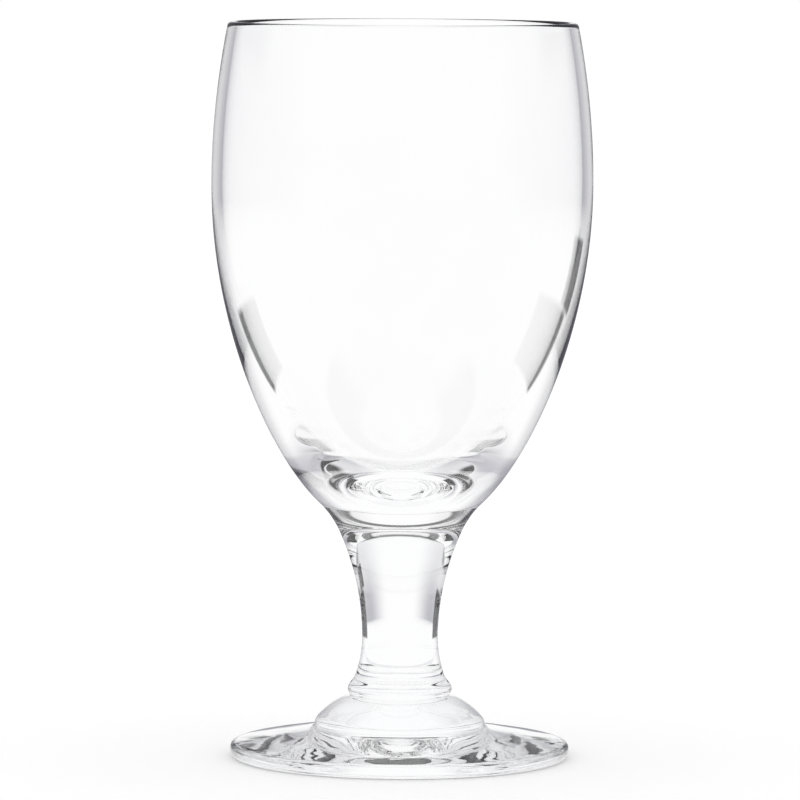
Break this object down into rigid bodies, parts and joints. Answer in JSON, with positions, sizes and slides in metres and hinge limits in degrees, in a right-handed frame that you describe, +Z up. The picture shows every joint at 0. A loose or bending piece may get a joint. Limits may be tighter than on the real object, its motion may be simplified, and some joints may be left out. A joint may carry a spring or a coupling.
{
  "type": "stemmed water goblet",
  "caption": "Clear glass goblet with a tall egg-shaped bowl, a short waisted stem, a rounded collar and a stepped round foot, for holding and drinking cold drinks.",
  "frame": {"origin": "centre of the foot, on the surface that the goblet stands on", "axes": "+Z up along the goblet's axis, from the foot to the rim; X and Y are alike, because the goblet is round"},
  "size_m": [0.0772, 0.0772, 0.1492],
  "materials": {
    "blown_glass": "fire-polished clear",
    "pressed_glass": "pressed and fire-polished clear"
  },
  "bodies": {
    "root": {"bowl": "blown_glass", "stem": "pressed_glass", "stem_collar": "pressed_glass", "foot": "pressed_glass"}
  },
  "joints": []
}
